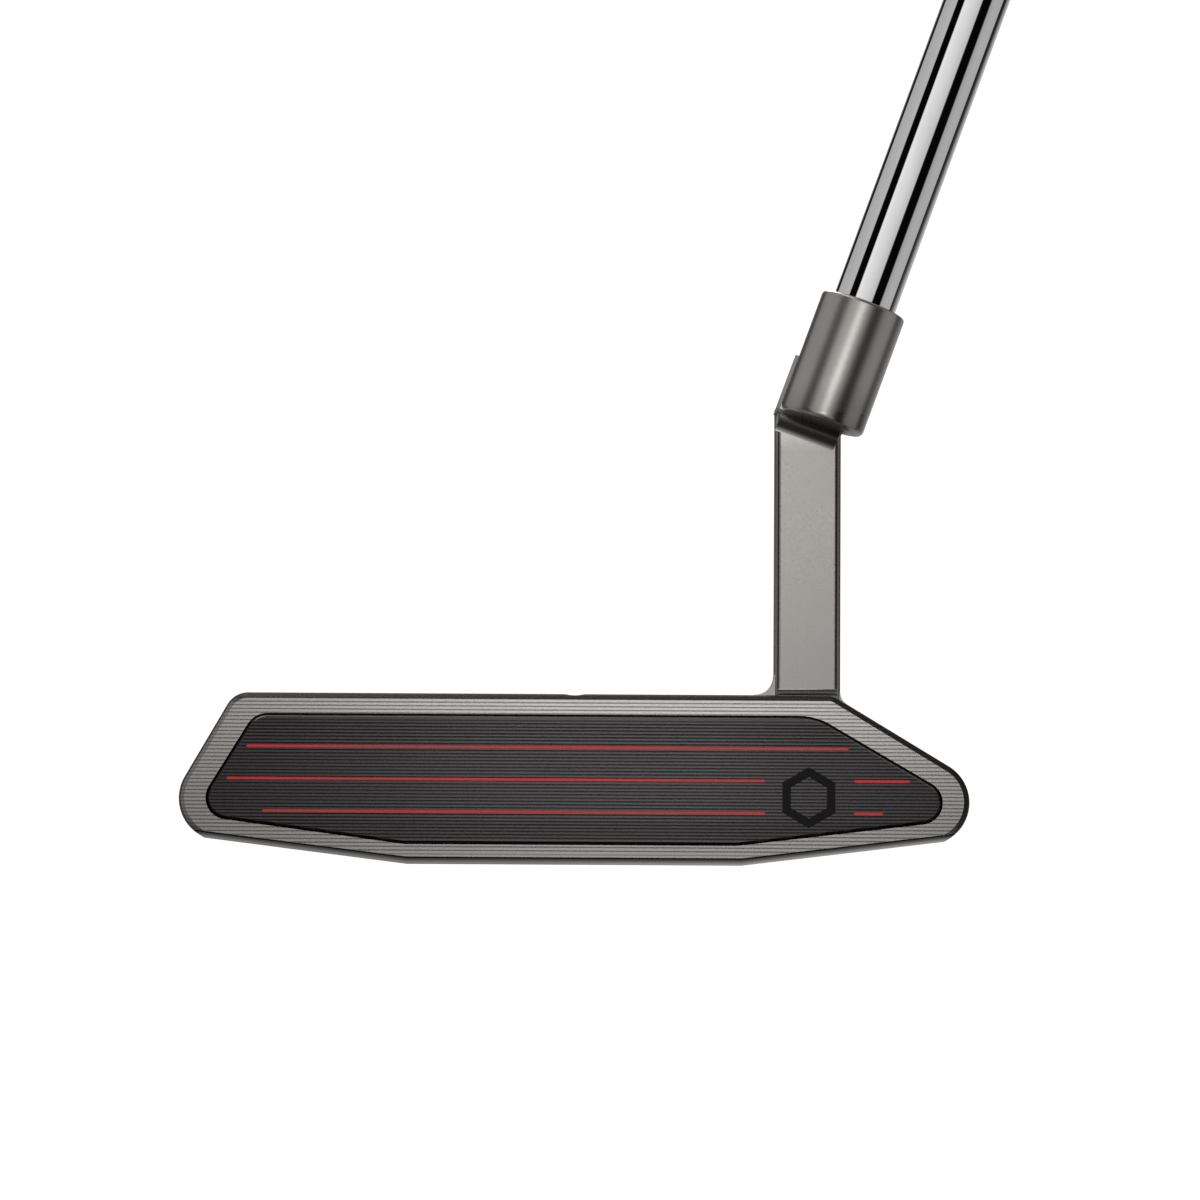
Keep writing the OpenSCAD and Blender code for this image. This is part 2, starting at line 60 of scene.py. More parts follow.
GRIP_START, GRIP_LENGTH = 622.0, 267.0     # mouth of the grip, along the shaft's axis
GRIP_BORE = 8.89                           # radius
GRIP_AROUND, GRIP_ROWS = 160, 740          # points round the grip, rows along it
AXIS = (Matrix.Translation(Vector((GROUND_X, HOSEL_Y, 0)) * MM)
        @ Matrix.Rotation(LIE, 4, "Y"))


# ---------------------------------------------------------------- node helpers
def rgba(colour):
    """A grey level or an RGB triple as RGBA."""
    if isinstance(colour, (int, float)):
        colour = (colour,) * 3
    return (*colour, 1.0)


class Graph:
    """A node tree with short helpers. A value is a number, a colour or a node's output."""

    def __init__(self, tree):
        self.tree = tree
        self.coords = self.add("TexCoord").outputs

    def feed(self, socket, value):
        if isinstance(value, bpy.types.NodeSocket):
            self.tree.links.new(value, socket)
        else:
            socket.default_value = rgba(value) if socket.type == "RGBA" else value

    def add(self, kind, inputs=None, **settings):
        node = self.tree.nodes.new("ShaderNode" + kind)
        for name, value in settings.items():
            setattr(node, name, value)
        for name, value in (inputs or {}).items():
            self.feed(node.inputs[name], value)
        return node

    def axes(self, vector):
        return self.add("SeparateXYZ", {0: vector}).outputs

    def math(self, operation, *values):
        return self.add("Math", dict(enumerate(values)), operation=operation).outputs[0]

    def times(self, a, b):
        return self.math("MULTIPLY", a, b)

    def over(self, value, limit):
        return self.math("GREATER_THAN", value, limit)

    def under(self, value, limit):
        return self.math("LESS_THAN", value, limit)

    def mix(self, amount, a, b, blend="MIX"):
        inputs = {0: amount, 6: a, 7: b}
        return self.add("Mix", inputs, data_type="RGBA", blend_type=blend).outputs[2]

    def mix_shader(self, amount, a, b):
        return self.add("MixShader", {0: amount, 1: a, 2: b}).outputs[0]

    def ramp(self, value, *stops):
        """Colour ramp through (position, colour) stops."""
        node = self.add("ValToRGB", {"Fac": value})
        elements = node.color_ramp.elements
        while len(elements) > 1:
            elements.remove(elements[-1])
        elements[0].position, elements[0].color = stops[0][0], rgba(stops[0][1])
        for position, colour in stops[1:]:
            elements.new(position).color = rgba(colour)
        return node.outputs["Color"]

    def fade(self, value, low, high, start=0.3, end=0.7):
        """From low to high as the value runs from start to end; the defaults suit noise."""
        return self.ramp(value, (start, low), (end, high))


class Material(Graph):
    def __init__(self, name):
        self.material = bpy.data.materials.new(name)
        self.material.use_nodes = True
        super().__init__(self.material.node_tree)
        by_type = {node.type: node for node in self.tree.nodes}
        self.surface = by_type["BSDF_PRINCIPLED"]
        self.output = by_type["OUTPUT_MATERIAL"]

    def set(self, **values):
        """Principled inputs, with underscores for spaces."""
        for name, value in values.items():
            self.feed(self.surface.inputs[name.replace("_", " ")], value)

    def noise(self, scale, detail, stretch=None):
        vector = self.coords["Object"]
        if stretch:
            vector = self.add("Mapping", {"Scale": stretch, "Vector": vector}).outputs["Vector"]
        inputs = {"Scale": scale, "Detail": detail, "Roughness": 0.55, "Vector": vector}
        return self.add("TexNoise", inputs).outputs["Fac"]

    def bump(self, height, strength, distance=0.0001):
        inputs = {"Strength": strength, "Distance": distance, "Height": height}
        self.set(Normal=self.add("Bump", inputs).outputs["Normal"])

    def off_line(self, z, pitch, first):
        """Distance from the nearest milled line, in pitches; pitch and first line in mm."""
        lines = self.math("MULTIPLY_ADD", z, 1 / MM / pitch / math.cos(LOFT),
                          -first / pitch + 0.5)
        return self.math("ABSOLUTE", self.math("SUBTRACT", self.math("FRACT", lines), 0.5))


# ---------------------------------------------------------------- materials
def face_lines(mat, y, z, normal):
    """Mask of the milled lines, on the forward-looking surface of the face."""
    line = mat.times(mat.fade(mat.off_line(z, pitch=0.55, first=2.1), 1.0, 0.0,
                              start=0.16, end=0.26),
                     mat.times(mat.under(y, FACE_BACK * MM), mat.under(z, 24.9 * MM)))
    forward = mat.fade(normal[1], 1.0, 0.0, start=0.0, end=0.02)
    return mat.times(line, mat.times(forward, mat.over(normal[2], -0.5)))


def blasted_area(mat, y, z, normal):
    """Mask of the bead-blasted surfaces, behind the blade and wherever they look back."""
    behind = mat.times(mat.over(y, (LEAD_Y + 7.4) * MM), mat.under(z, BLADE_TOP * MM))
    return mat.math("MAXIMUM", behind, mat.fade(normal[1], 0.0, 1.0, start=0.10, end=0.25))


def edge_shade_masks(mat, y, z, normal):
    """Masks of painted shade on the edge break round the face and on the sole's leading edge."""
    # distance behind the lofted plane of the face
    depth = mat.math("SUBTRACT", mat.math("MULTIPLY_ADD", z, -math.tan(LOFT), y),
                     (LEAD_Y - LEAD_Z * math.tan(LOFT)) * MM)
    rim_shade = mat.times(mat.times(mat.over(depth, 0.14 * MM), mat.under(depth, 0.8 * MM)),
                    mat.under(z, BLADE_TOP * MM))
    # positions are depth in units of 5 mm
    fading = mat.ramp(mat.times(depth, 200.0), (0.0, 0.86), (0.22, 0.62), (0.85, 0.0))
    lip_shade = mat.times(fading, mat.under(normal[2], -0.8))
    lip_shade = mat.times(lip_shade, mat.times(mat.over(depth, 0.12 * MM), mat.under(z, 9 * MM)))
    return rim_shade, lip_shade


def hosel_step_shade(mat, x, z):
    """Mask of painted shade on the narrow step on the toe side of the hosel."""
    across = mat.math("SUBTRACT",
                      mat.math("MULTIPLY_ADD", x, math.cos(LIE), -GROUND_X * MM * math.cos(LIE)),
                      mat.times(z, math.sin(LIE)))
    return mat.times(mat.under(across, -6.39 * MM), mat.over(z, 66 * MM))


def worn_arrises(mat, y, geometry):
    """Mask of patchy wear on the edges behind the face."""
    rounded = mat.add("Bevel", {"Radius": 0.3 * MM}, samples=4).outputs["Normal"]
    agreement = mat.add("VectorMath", {0: rounded, 1: geometry["Normal"]},
                        operation="DOT_PRODUCT").outputs["Value"]
    behind = mat.over(y, (LEAD_Y + 1.8) * MM)
    patches = mat.fade(mat.noise(scale=420, detail=3), 0.0, 0.4, start=0.42, end=0.66)
    worn = mat.times(mat.fade(agreement, 1.0, 0.0, start=0.88, end=0.98), patches)
    return mat.times(worn, behind)


def gunmetal():
    mat = Material("gunmetal")
    mat.set(Metallic=1.0, Roughness=0.26)
    x, y, z = mat.axes(mat.coords["Object"])
    geometry = mat.add("NewGeometry").outputs
    normal = mat.axes(geometry["Normal"])
    cloud = mat.noise(scale=34, detail=3)
    fine = mat.noise(scale=2600, detail=3, stretch=(1, 1, 1.6))
    base = mat.fade(cloud, (0.385, 0.369, 0.350), (0.405, 0.388, 0.368))
    grain = mat.fade(fine, (0.26, 0.25, 0.24), (0.52, 0.50, 0.48), start=0.25, end=0.75)
    base = mat.mix(0.05, base, grain)
    # milled lines of the face, a little darker than the lands
    base = mat.mix(mat.times(face_lines(mat, y, z, normal), 0.42), base, 0.05)
    # painted light and shade by height: darker low on the blade and down the post, lighter near
    # the top of the blade and much lighter on the hosel; positions are height in units of 100 mm
    painted_light_and_blast_tone = mat.ramp(mat.times(z, 10.0),
                    (0.02, 0.56), (0.24, 0.76), (0.27, 0.66), (0.62, 0.56), (0.71, 1.22))
    blasted = blasted_area(mat, y, z, normal)
    painted_light_and_blast_tone = mat.mix(blasted, painted_light_and_blast_tone, 1.15)
    # painted light and shade by height multiplies the base colour
    base = mat.mix(1.0, base, painted_light_and_blast_tone, blend="MULTIPLY")
    # painted shade: darkest on the edge break round the face and along the sole's leading edge,
    # where the specular tint is dimmed too
    rim_shade, lip_shade = edge_shade_masks(mat, y, z, normal)
    base = mat.mix(mat.times(rim_shade, 0.72), base, 0.02)
    base = mat.mix(lip_shade, base, 0.02)
    # painted shade on the narrow step on the toe side of the hosel
    base = mat.mix(mat.times(hosel_step_shade(mat, x, z), 0.72), base, 0.04)
    worn = worn_arrises(mat, y, geometry)
    mat.set(Base_Color=mat.mix(worn, base, (0.60, 0.58, 0.56)),
            Specular_Tint=mat.mix(lip_shade, 1.0, 0.02))
    # the hosel is brushed a little coarser
    coarser = mat.times(mat.over(z, 66.5 * MM), 0.055)
    milled = mat.math("ADD", mat.fade(fine, 0.245, 0.275), coarser)
    mat.set(Roughness=mat.mix(blasted, milled, mat.fade(fine, 0.40, 0.47)))
    mat.bump(fine, strength=0.006)
    return mat.material


def insert_black():
    mat = Material("insert_black")
    mat.set(Metallic=1.0, Roughness=0.29)
    x, _, z = mat.axes(mat.coords["Object"])
    cloud = mat.noise(scale=45, detail=3)
    fine = mat.noise(scale=2600, detail=3)
    land = mat.fade(cloud, (0.060, 0.055, 0.056), (0.066, 0.061, 0.062))
    # the mill's lines stay darker than the lands between them
    line = mat.fade(mat.off_line(z, pitch=0.5, first=3.9), 1.0, 0.0, start=0.24, end=0.32)
    base = mat.mix(line, land, (0.024, 0.022, 0.023))
    # painted highlight on the upper rim, lighter where the surface faces up
    normal = mat.axes(mat.add("NewGeometry").outputs["Normal"])
    upward_highlight = mat.fade(normal[2], 0.0, 1.0, start=0.30, end=0.50)
    base = mat.mix(upward_highlight, base, (0.42, 0.40, 0.40))
    base = mat.mix(0.08, base, mat.fade(fine, 0.02, (0.12, 0.11, 0.11)))
    # painted shade, darker towards both ends: distance from x = 6 mm, in units of 100 mm
    along = mat.math("ABSOLUTE", mat.math("MULTIPLY_ADD", x, 10.0, -0.06))
    ends_shade = mat.fade(along, 1.0, 0.62, start=0.15, end=0.58)
    mat.set(Base_Color=mat.mix(1.0, base, ends_shade, blend="MULTIPLY"),
            Roughness=mat.fade(fine, 0.27, 0.31))
    mat.bump(fine, strength=0.012)
    return mat.material


def paint(name, low, high, rough=0.35, coat=0.0, glow=0.0):
    mat = Material(name)
    # glow is painted light: the paint gives off light of its own, used for the red lines
    mat.set(Roughness=rough, Coat_Weight=coat, Coat_Roughness=0.2,
            Emission_Color=high, Emission_Strength=glow)
    grain = mat.noise(scale=700, detail=3)
    mat.set(Base_Color=mat.fade(grain, low, high))
    mat.bump(grain, strength=0.08)
    return mat.material


def gloss_black():
    mat = Material("gloss_black")
    mat.set(Roughness=0.10, Specular_IOR_Level=0.18)
    grain = mat.noise(scale=300, detail=2)
    mat.set(Base_Color=mat.fade(grain, 0.001, 0.003), Roughness=mat.fade(grain, 0.08, 0.15))
    return mat.material


def chrome():
    mat = Material("chrome")
    mat.set(Metallic=1.0, Roughness=0.035)
    streaks = mat.noise(scale=240, detail=3, stretch=(1, 1, 0.08))
    mat.set(Base_Color=mat.fade(streaks, (0.86, 0.86, 0.87), (0.92, 0.92, 0.925)),
            Roughness=mat.fade(streaks, 0.022, 0.05, start=0.35))
    return mat.material


def turned_steel():
    mat = Material("turned_steel")
    mat.set(Metallic=1.0, Roughness=0.28)
    grain = mat.noise(scale=900, detail=4)
    mat.set(Base_Color=mat.fade(grain, (0.40, 0.40, 0.405), (0.52, 0.515, 0.51)),
            Roughness=mat.fade(grain, 0.22, 0.34))
    mat.bump(grain, strength=0.05)
    return mat.material


def rubber(name, low, high, scale=500, rough=0.7):
    mat = Material(name)
    mat.set(Roughness=rough)
    grain = mat.noise(scale, detail=5)
    mat.set(Base_Color=mat.fade(grain, low, high),
            Roughness=mat.fade(grain, rough - 0.08, rough + 0.1))
    mat.bump(grain, strength=0.2, distance=0.0003)
    return mat.material


MATERIALS = {
    "gunmetal": gunmetal(),
    "insert": insert_black(),
    # the red paint glows a little: painted light
    "red": paint("red_paint", (0.92, 0.008, 0.014), (1.0, 0.014, 0.022),
                 rough=0.5, coat=0.25, glow=0.12),
    "white": paint("white_paint", (0.80, 0.80, 0.78), (0.88, 0.88, 0.86)),
    "gloss": gloss_black(),
    "chrome": chrome(),
    "steel": turned_steel(),
    "rubber": rubber("grip_rubber", 0.022, (0.036, 0.036, 0.037), scale=260),
    "cap": rubber("cap_plastic", 0.010, 0.018, rough=0.5),
    "washer": rubber("washer_rubber", 0.012, 0.02, scale=600),
    "epoxy": paint("epoxy", 0.006, 0.012, rough=0.25),
    "pad": rubber("bond_pad", 0.02, 0.03),
    "cork": paint("cork", (0.42, 0.26, 0.14), (0.55, 0.36, 0.2), rough=0.8),
    "tape": paint("tape", (0.62, 0.58, 0.44), (0.72, 0.68, 0.54), rough=0.75),
    "core": rubber("grip_core", (0.03, 0.03, 0.032), (0.05, 0.05, 0.052), scale=900),
}


# ---------------------------------------------------------------- mesh helpers
def put(name, data):
    obj = bpy.data.objects.new(name, data)
    bpy.context.scene.collection.objects.link(obj)
    return obj


def coat(obj, material):
    obj.data.materials.clear()
    obj.data.materials.append(MATERIALS[material])


def hand_over(obj, material, piece):
    """Finishes a mesh: its material, the body it rides on and the CAD piece it stands for."""
    coat(obj, material)
    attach(obj, "club")
    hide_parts(piece)
    return obj


def smooth_by_angle(bm, angle, face_angle=None):
    """Smooth shading up to an angle in degrees; face_angle takes its place on the face."""
    bm.normal_update()
    for face in bm.faces:
        face.smooth = True
        face.material_index = 0
    for edge in bm.edges:
        on_face = face_angle and all(v.co.y < FACE_BACK * MM and v.co.z < BLADE_TOP * MM
                                     for v in edge.verts)
        limit = math.radians(face_angle if on_face else angle)
        edge.smooth = len(edge.link_faces) == 2 and edge.calc_face_angle(0) < limit


def axis_mesh(name, points, faces, angle, start=0.0):
    """Object from points in mm, z along the shaft's axis from start."""
    mesh = bpy.data.meshes.new(name)
    place = AXIS @ Matrix.Translation(Vector((0, 0, start)) * MM)
    mesh.from_pydata([tuple(place @ (Vector(p) * MM)) for p in points], [], faces)
    bm = bmesh.new()
    bm.from_mesh(mesh)
    bmesh.ops.recalc_face_normals(bm, faces=bm.faces)
    smooth_by_angle(bm, angle)
    bm.to_mesh(mesh)
    bm.free()
    return put(name, mesh)


def bridge(lower, upper):
    """Quads between two rings of the grip, each given by its first point's index."""
    n = GRIP_AROUND
    return [(lower + k, lower + (k + 1) % n, upper + (k + 1) % n, upper + k) for k in range(n)]


# ---------------------------------------------------------------- head and insert
PORT_X, PORT_BEHIND = 40, 15.4         # weight ports: +-x and distance behind the leading edge
PORT_KEEP, PORT_TOP = 8.2, 6.5         # radius and height left alone round them
REAR_START = 7.9                       # softened edges lie this far behind the leading edge
REAR_LOW, REAR_HIGH = 0.9, 21          # and between these heights
SIGHT_HALF = 1.2                       # half width left alone at the sight line
END_X, END_TOP = 36, 13.9              # edges reaching past this x and below this z stay sharp
SHORTEST = 0.45                        # shorter edges stay sharp
BEND_MIN, BEND_MAX = 0.45, 2.6         # radians
REAR_ROUND = 0.5


def rear_arris(edge):
    """Convex outside edges of the flange and bumpers, away from ports and the sight line."""
    if (not edge.is_convex or not BEND_MIN < edge.calc_face_angle(0) < BEND_MAX
            or edge.calc_length() < SHORTEST * MM):
        return False
    if (min(v.co.z for v in edge.verts) < END_TOP * MM
            and max(abs(v.co.x) for v in edge.verts) > END_X * MM):
        return False
    for v in edge.verts:
        x, y, z = (c / MM for c in v.co)
        behind = y - LEAD_Y
        if behind < REAR_START or z > REAR_HIGH or z < REAR_LOW or abs(x) < SIGHT_HALF:
            return False
        if math.hypot(abs(x) - PORT_X, behind - PORT_BEHIND) < PORT_KEEP and z < PORT_TOP:
            return False
    return True


def adopt(piece, material, angle, soften_rear=False):
    """The CAD piece's own shape as one clean, smooth-shaded mesh that stands for it."""
    mesh = PIECES[piece].data.copy()
    mesh.name = "vis_" + piece
    if "custom_normal" in mesh.attributes:
        mesh.attributes.remove(mesh.attributes["custom_normal"])
    bm = bmesh.new()
    bm.from_mesh(mesh)
    bmesh.ops.remove_doubles(bm, verts=bm.verts, dist=2e-6)
    bmesh.ops.dissolve_degenerate(bm, edges=bm.edges, dist=1e-6)
    bmesh.ops.dissolve_limit(bm, angle_limit=math.radians(0.3), verts=bm.verts,
                             edges=bm.edges, delimit=set())
    if soften_rear:
        bm.normal_update()
        picked = [e for e in bm.edges if len(e.link_faces) == 2 and rear_arris(e)]
        bmesh.ops.bevel(bm, geom=picked, offset=REAR_ROUND * MM, offset_type="OFFSET",
                        segments=3, profile=0.5, affect="EDGES", clamp_overlap=False)
    smooth_by_angle(bm, angle, face_angle=8)
    bm.to_mesh(mesh)
    bm.free()
    obj = hand_over(put("vis_" + piece, mesh), material, piece)
    obj.modifiers.new("weighted", "WEIGHTED_NORMAL").keep_sharp = True
    return obj


# ---------------------------------------------------------------- shaft
def shaft():
    """Stepped tube: a closed profile of (radius, height) turned about the shaft's axis."""
    around = 96
    bottom, end = 71.74, 885.0
    tip, butt = 4.7, 7.35                  # outer radii
    tip_wall, butt_wall = 0.75, 0.45
    steps, first_step, step_rise = 9, 330.0, 1.2
    step_length = (GRIP_START - 8 - first_step) / steps
    step_out = (butt - tip) / steps
    profile = [(tip - tip_wall, bottom), (tip - 0.25, bottom), (tip, bottom + 0.5)]
    for i in range(steps):
        height = first_step + i * step_length
        profile += [(tip + i * step_out, height), (tip + (i + 1) * step_out, height + step_rise)]
    profile += [(butt, end), (butt - butt_wall, end),
                (butt - butt_wall, first_step + (steps - 1) * step_length + step_rise),
                (tip - tip_wall, first_step)]

    points, faces, count = [], [], len(profile)
    for k in range(around):
        turn = 2 * math.pi * k / around
        points += [(r * math.cos(turn), r * math.sin(turn), h) for r, h in profile]
        here, there = k * count, (k + 1) % around * count
        for i in range(count):
            j = (i + 1) % count
            faces.append((here + i, there + i, there + j, here + j))
    return axis_mesh("vis_shaft", points, faces, angle=5)


# ---------------------------------------------------------------- grip
def ease(t):
    t = min(1.0, max(0.0, t))
    return t * t * (3 - 2 * t)


def section(s):
    """Evenly spaced outline of the grip and its half width; s is 0 at the mouth, 1 at the butt.

    The flat side lies towards -x, the rounded side towards +x.
    """
    width = 9.6 + 3.6 * ease(s * 1.05)
    flat = 9.2 + 2.0 * ease(s)
    belly = 10 + 4.2 * ease(s * 1.15) + 4.2 * ease((s - 0.66) / 0.3)
    count = 720
    fine = []
    for i in range(count):
        turn = 2 * math.pi * i / count
        c, d = math.cos(turn), math.sin(turn)
        power_x, power_y = (0.42, 0.62) if c < 0 else (0.95, 0.95)
        x = -flat * (-c) ** power_x if c < 0 else belly * c ** power_x
        fine.append((x, width * math.copysign(abs(d) ** power_y, d)))
    run = [0.0]
    for i in range(count):
        p, q = fine[i], fine[(i + 1) % count]
        run.append(run[-1] + math.hypot(q[0] - p[0], q[1] - p[1]))
    outline, j = [], 0
    for k in range(GRIP_AROUND):
        target = run[-1] * k / GRIP_AROUND
        while run[j + 1] < target:
            j += 1
        u = (target - run[j]) / (run[j + 1] - run[j])
        p, q = fine[j], fine[(j + 1) % count]
        outline.append((p[0] + (q[0] - p[0]) * u, p[1] + (q[1] - p[1]) * u))
    return outline, width


MOUTH_ROUND = 1.6
RING_HEIGHTS, RING_DEPTH, RING_SPREAD = (5.2, 8.4), 0.35, 0.42     # grooves near the mouth
RIB_PITCH, RIB_DEPTH = 2.3, 0.26
RAIL_DEPTH, RAIL_SPREAD = 0.22, 0.35       # long grooves either side of the ribs
DIMPLE_ROW, DIMPLE_DEPTH = 2.9, 0.30
DIMPLES_AROUND = 75
DIMPLE_RADIUS, DIMPLE_EDGE = 0.40, 0.16    # in dimple spacings


def bell(distance, spread):
    return math.exp(-(distance / spread) ** 2)


def between_ends(h, margin, run):
    """1 along the grip, easing to 0 at a margin from both ends."""
    return ease((h - margin) / run) * ease((GRIP_LENGTH - margin - h) / run)


def grip_relief(x, y, width, h, k):
    """How far the moulded pattern sinks at this spot, mm."""
    depth = 0.0
    if h < MOUTH_ROUND:
        depth += 0.9 * (1 - math.sqrt(max(0.0, 1 - (1 - h / MOUTH_ROUND) ** 2)))
    for ring in RING_HEIGHTS:
        depth += RING_DEPTH * bell(h - ring, RING_SPREAD)
    if x < 0 and abs(y) < width * 0.99:
        # flat side: fine ribs between two rails, plain towards both ends
        lane = ease((width * 0.66 - abs(y)) / 0.9) * between_ends(h, margin=14, run=2.0)
        rib = 0.5 - 0.5 * math.cos(2 * math.pi * h / RIB_PITCH)
        depth += RIB_DEPTH * lane * ease(rib * 1.5 - 0.2)
        rail = bell(abs(y) - width * 0.78, RAIL_SPREAD)
        depth += RAIL_DEPTH * rail * between_ends(h, margin=11, run=1.5)
    else:
        # rounded side: staggered round dimples
        row = math.floor(h / DIMPLE_ROW)
        stagger = 0.5 if row % 2 else 0.0
        across = (DIMPLES_AROUND * k / GRIP_AROUND + stagger) % 1.0 - 0.5
        along = (h / DIMPLE_ROW) % 1.0 - 0.5
        lane = between_ends(h, margin=12, run=2.0) * ease(x / 1.8)
        inside = (DIMPLE_RADIUS - math.hypot(across, along)) / DIMPLE_EDGE
        depth += DIMPLE_DEPTH * lane * ease(inside)
    return depth


def grip_sleeve():
    top = GRIP_LENGTH - 3.2                # leaves room for the end cap
    thinnest = 0.12
    points, faces = [], []
    for j in range(GRIP_ROWS + 1):
        h = top * j / GRIP_ROWS
        outline, width = section(h / GRIP_LENGTH)
        for k, (x, y) in enumerate(outline):
            r = math.hypot(x, y)
            sunk = r - grip_relief(x, y, width, h, k)
            f = max(GRIP_BORE + thinnest, sunk) / r
            points.append((x * f, y * f, h))
    # the bore, from the top back down to the mouth
    for h in (top, 0.0):
        for x, y in section(h / GRIP_LENGTH)[0]:
            r = math.hypot(x, y)
            points.append((x * GRIP_BORE / r, y * GRIP_BORE / r, h))
    last = (GRIP_ROWS + 2) * GRIP_AROUND
    for start in range(0, last, GRIP_AROUND):
        faces += bridge(start, start + GRIP_AROUND)
    faces += bridge(last, 0)
    return axis_mesh("vis_grip_sleeve", points, faces, angle=50, start=GRIP_START)


# Rings of the end cap from its underside, over the rim and into the centre hole.
# The second column is the height from the grip's end.
CAP_WALL = (                               # inset from the grip's outline
    (6.0, -3.15), (0.45, -3.15), (0.4, -2.95), (0.4, -1.1),
    (0.48, -0.7), (0.72, -0.32), (1.1, -0.08), (1.6, 0.0),
)
CAP_FACE = (                               # scale of the grip's outline
    (0.80, 0.0), (0.785, -0.06), (0.775, -0.35), (0.70, -0.4), (0.58, -0.4),
    (0.57, -0.1), (0.53, -0.1), (0.52, -0.4), (0.36, -0.42),
)
CAP_HOLE = (                               # radius
    (2.6, -0.42), (2.5, -0.15), (1.8, -0.15), (1.6, -0.3), (1.6, -2.6),
)


def grip_end_cap():
    outline = section(1.0)[0]
    points, faces = [], []
    for rings, factor in ((CAP_WALL, lambda r, inset: (r - inset) / r),
                          (CAP_FACE, lambda r, scale: scale),
                          (CAP_HOLE, lambda r, radius: radius / r)):
        for size, height in rings:
            for x, y in outline:
                f = factor(math.hypot(x, y), size)
                points.append((x * f, y * f, GRIP_LENGTH + height))
    last = len(points) - GRIP_AROUND
    for start in range(0, last, GRIP_AROUND):
        faces += bridge(start, start + GRIP_AROUND)
    faces.append(tuple(range(last, len(points))))
    faces.append(tuple(reversed(range(GRIP_AROUND))))
    return axis_mesh("vis_grip_end_cap", points, faces, angle=28, start=GRIP_START)


# ---------------------------------------------------------------- the club
head = adopt("head_body", "gunmetal", angle=22, soften_rear=True)
insert = adopt("face_insert", "insert", angle=12)
hand_over(shaft(), "chrome", "shaft")
sleeve = hand_over(grip_sleeve(), "rubber", "grip_sleeve")
cap = hand_over(grip_end_cap(), "cap", "grip_end_cap")

# CAD pieces that keep their own mesh
PLAIN_PIECES = {
    "insert_bond_pad": "pad", "insert_line_paint": "red", "insert_emblem": "gloss",
    "sight_line_paint": "white", "toe_weight": "steel", "heel_weight": "steel",
    "toe_weight_washer": "washer", "heel_weight_washer": "washer", "shaft_epoxy": "epoxy",
    "shaft_tip_plug": "cork", "grip_tape": "tape", "grip_underlisting": "core",
}
for piece, material in PLAIN_PIECES.items():
    coat(PIECES[piece], material)


# ---------------------------------------------------------------- stage
# Panels and black flags round the club: azimuth in degrees (0 towards the camera, + to the
# heel side) and brightness
PANELS = (
    (-180, 0.30), (-159, 0.22), (-157, 0.01), (-136, 0.01), (-134, 0.42), (-66.5, 0.50),
    (-64, 0.002), (-37.5, 0.002), (-35, 0.88), (-20, 0.80), (0, 0.70), (19, 0.56),
    (21.5, 0.54), (24, 0.002), (53, 0.002), (55.5, 0.36), (75, 0.44), (103, 0.42),
    (106, 0.006), (121, 0.006), (125, 0.12), (150, 0.5), (180, 0.60),
)


def studio():
    """Light tent, dark above and below the front panel; plain white to the camera."""
    world = bpy.data.worlds.new("studio")
    bpy.context.scene.world = world
    world.use_nodes = True
    world.node_tree.nodes.clear()
    sky = Graph(world.node_tree)

    def step(angle, start, end):
        """0 at start, 1 at end, both in degrees."""
        inputs = {"Value": angle, "From Min": math.radians(start), "From Max": math.radians(end)}
        return sky.add("MapRange", inputs, interpolation_type="SMOOTHSTEP").outputs[0]

    x, y, z = sky.axes(sky.coords["Generated"])
    azimuth = sky.math("ARCTAN2", x, sky.times(y, -1.0))
    turn = sky.math("MULTIPLY_ADD", azimuth, 1 / (2 * math.pi), 0.5)
    elevation = sky.math("ARCSINE", z)
    glow = sky.ramp(turn, *((angle / 360 + 0.5, level) for angle, level in PANELS))
    # height is measured from the plane square to the shaft, so the panels stay straight in it
    up = sky.math("ARCSINE", sky.math("MULTIPLY_ADD", x, math.sin(LIE),
                                      sky.times(z, math.cos(LIE))))
    off_front = sky.math("ABSOLUTE", sky.math("ADD", azimuth, math.radians(9)))
    front = sky.math("SUBTRACT", 1.0, step(off_front, 60, 76))
    glow = sky.mix(sky.times(front, step(up, 13, 19)), glow, 0.035)
    glow = sky.mix(sky.times(front, step(sky.times(up, -1.0), 6, 30)), glow, 0.045)
    # overhead, low behind, and straight below
    glow = sky.mix(step(elevation, 44, 70), glow, 0.38)
    back = step(sky.math("ABSOLUTE", azimuth), 105, 125)
    glow = sky.mix(sky.times(back, step(sky.times(elevation, -1.0), 2, 34)), glow, 0.52)
    glow = sky.mix(step(sky.times(elevation, -1.0), 56, 80), glow, 0.12)
    tent = sky.add("Background", {"Color": glow, "Strength": 1.0}).outputs[0]
    white = sky.add("Background", {"Color": 1.0, "Strength": 1.1}).outputs[0]
    to_camera = sky.add("LightPath").outputs["Is Camera Ray"]
    sky.add("OutputWorld", {"Surface": sky.mix_shader(to_camera, tent, white)})


